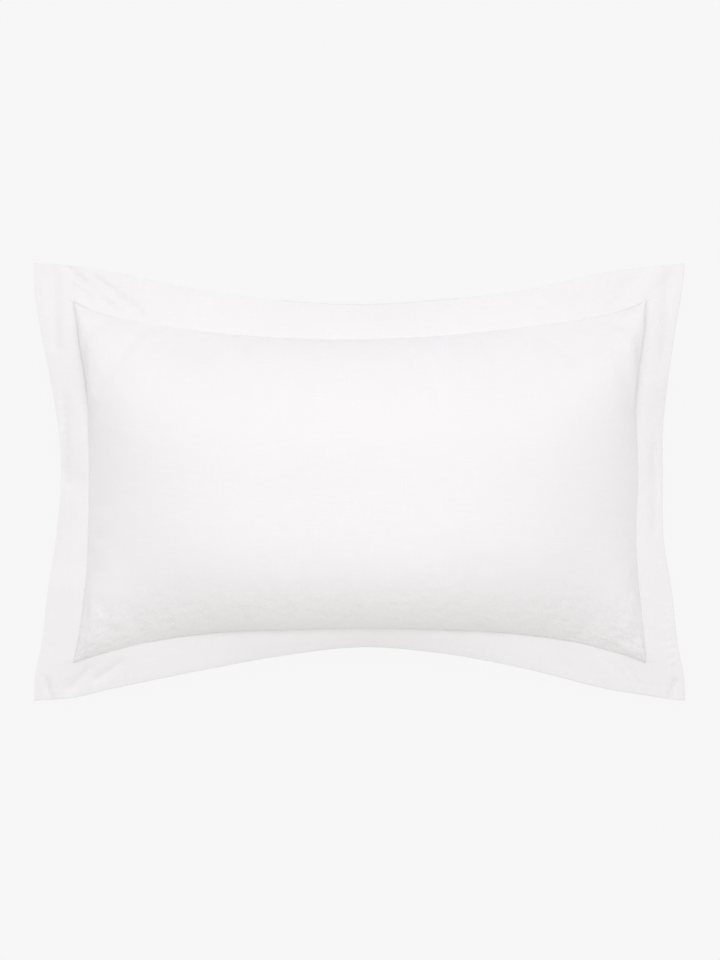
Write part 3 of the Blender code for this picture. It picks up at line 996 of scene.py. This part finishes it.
def thread(name):
    """Sewing thread: a little glossier than the cloth, with its own twist."""
    finish = Finish(bpy.data.materials.new(name))
    place = finish.node("ShaderNodeTexCoord", output="Object")
    twist = finish.node(
        "ShaderNodeTexNoise", None, {"Vector": place, "Scale": 2500.0, "Detail": 1.0},
    )
    shade = 0.97 + twist * 0.05
    colour = finish.node("ShaderNodeVectorMath", {"operation": "SCALE"}, {0: LINEN, "Scale": shade})
    bump = finish.node(
        "ShaderNodeBump", None, {"Height": twist, "Strength": 0.5, "Distance": 0.1 * MM},
    )
    shader = finish.node(
        "ShaderNodeBsdfPrincipled", None,
        {"Base Color": colour, "Roughness": 0.6, "Normal": bump},
    )
    return finish.out(shader)


# %% Dress the pieces
face.data.materials.clear()
face.data.materials.append(washed_linen("face_linen", crumpled_low=1.0))
flange.data.materials.clear()
flange.data.materials.append(washed_linen("flange_linen", crumple=0.7))
back.data.materials.clear()
back.data.materials.append(washed_linen("back_linen"))
sewing = thread("sewing_thread")
topstitching.data.materials.append(sewing)
hem_stitching.data.materials.append(sewing)

for piece, node in ((face, "filled_body"), (flange, "flange"), (back, "back_panel")):
    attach(piece, "root")
    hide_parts(node)
for piece, node in ((topstitching, "flange"), (hem_stitching, "back_panel")):
    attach(piece, "root")

PANEL_LENGTH / 2 + free_edge_at

# %% [markdown]
# ## Floor, light and camera
#
# The photograph is a cut-out on an even pale grey, lit from straight ahead and a little from
# the top, with a dimmer room below, which shades the low wall of the face. A case lying on
# its back is seen from above, so the picture's top is +Y. The floor glows mostly by itself,
# which keeps it as even as the photograph's ground.

# %% A pale even floor
FLOOR_SHADE = 0.930           # the photograph's ground, 247 of 255, as a linear value
FLOOR_MATT = 0.04             # share of the floor that takes light and shade
FLOOR_SIZE = 30
deselect()
bpy.ops.mesh.primitive_plane_add(size=FLOOR_SIZE, location=(0, 0, -GAP))
floor = bpy.context.object
floor.name = "floor"
ground = Finish(bpy.data.materials.new("pale_ground"))
glow_colour = (FLOOR_SHADE, FLOOR_SHADE, FLOOR_SHADE, 1)
glow = ground.node("ShaderNodeEmission", None, {"Color": glow_colour, "Strength": 1.0})
matt = ground.node("ShaderNodeBsdfDiffuse", None, {"Color": (0.9, 0.9, 0.9, 1)})
mixed = ground.node("ShaderNodeMixShader", None, {0: FLOOR_MATT, 1: glow, 2: matt})
floor.data.materials.append(ground.out(mixed))
print("floor", FLOOR_SIZE, "m")

# %% The room's even light
AMBIENT = 0.825
AMBIENT_SLANT = 0.12          # brighter towards +Y by this share, and darker away from it
AMBIENT_TINT = (1.014, 1.0, 1.003, 1)
LOW_TINT = (0.852, 0.86, 0.812, 1)    # from below the picture: dimmer, and a little olive
LOW_FROM, LOW_FULL = 0.1, 0.9         # how far towards -Y the low tint starts and is full

room = Finish(bpy.data.worlds.new("studio"))
towards = room.node("ShaderNodeTexCoord", output="Generated")
upwards = room.node("ShaderNodeSeparateXYZ", None, {"Vector": towards}, output="Y")
tint_stops = {"stops": [(LOW_FROM, AMBIENT_TINT), (LOW_FULL, LOW_TINT)]}
tint = room.node("ShaderNodeValToRGB", tint_stops, {"Fac": upwards * -1})
strength = upwards * (AMBIENT * AMBIENT_SLANT) + AMBIENT
sky = room.node("ShaderNodeBackground", None, {"Color": tint, "Strength": strength})
bpy.context.scene.world = room.out(sky, "ShaderNodeOutputWorld")
print("room light", AMBIENT)

# %% Two soft boxes
KEY_TINT = (1.024, 1.0, 1.033)
KEY_TILT = radians(10)        # from straight above towards +Y
LIT_POINT = (0, 0, 0.15)


def soft_box(name, direction, distance, size, power):
    """A square light that faces the lit point from a direction."""
    data = bpy.data.lights.new(name, "AREA")
    data.shape = "RECTANGLE"
    data.size = data.size_y = size
    data.energy = power
    data.color = KEY_TINT
    light = bpy.data.objects.new(name, data)
    light.location = Vector(LIT_POINT) + Vector(direction).normalized() * distance
    light.rotation_euler = Vector(direction).to_track_quat("Z", "Y").to_euler()
    bpy.context.scene.collection.objects.link(light)
    print(name, power, "W")


soft_box("key", (0, sin(KEY_TILT), cos(KEY_TILT)), distance=4.0, size=1.6, power=23.5)
soft_box("overhead", (0, 0, 1), distance=1.1, size=0.7, power=1.57)

# %% The camera above the case
MM_PER_PIXEL = 1.25
PICTURE_WIDTH = 720 * MM_PER_PIXEL * MM
PICTURE_MIDDLE = (0.5 * MM, 2.5 * MM)
CAMERA_HEIGHT = 10.0
MEASURED_LEVEL = 0.050        # the height at which the scale holds, between seam and edge
SENSOR_WIDTH = 36             # mm, as the lens is
deselect()
bpy.ops.object.camera_add(location=(*PICTURE_MIDDLE, MEASURED_LEVEL + CAMERA_HEIGHT))
camera = bpy.context.object
camera.name = "camera"
camera.data.sensor_fit = "HORIZONTAL"
camera.data.sensor_width = SENSOR_WIDTH
camera.data.lens = SENSOR_WIDTH * CAMERA_HEIGHT / PICTURE_WIDTH
camera.data.clip_end = 100
bpy.context.scene.camera = camera
bpy.context.scene.view_settings.view_transform = "Standard"
print("lens", round(camera.data.lens, 1), "mm")
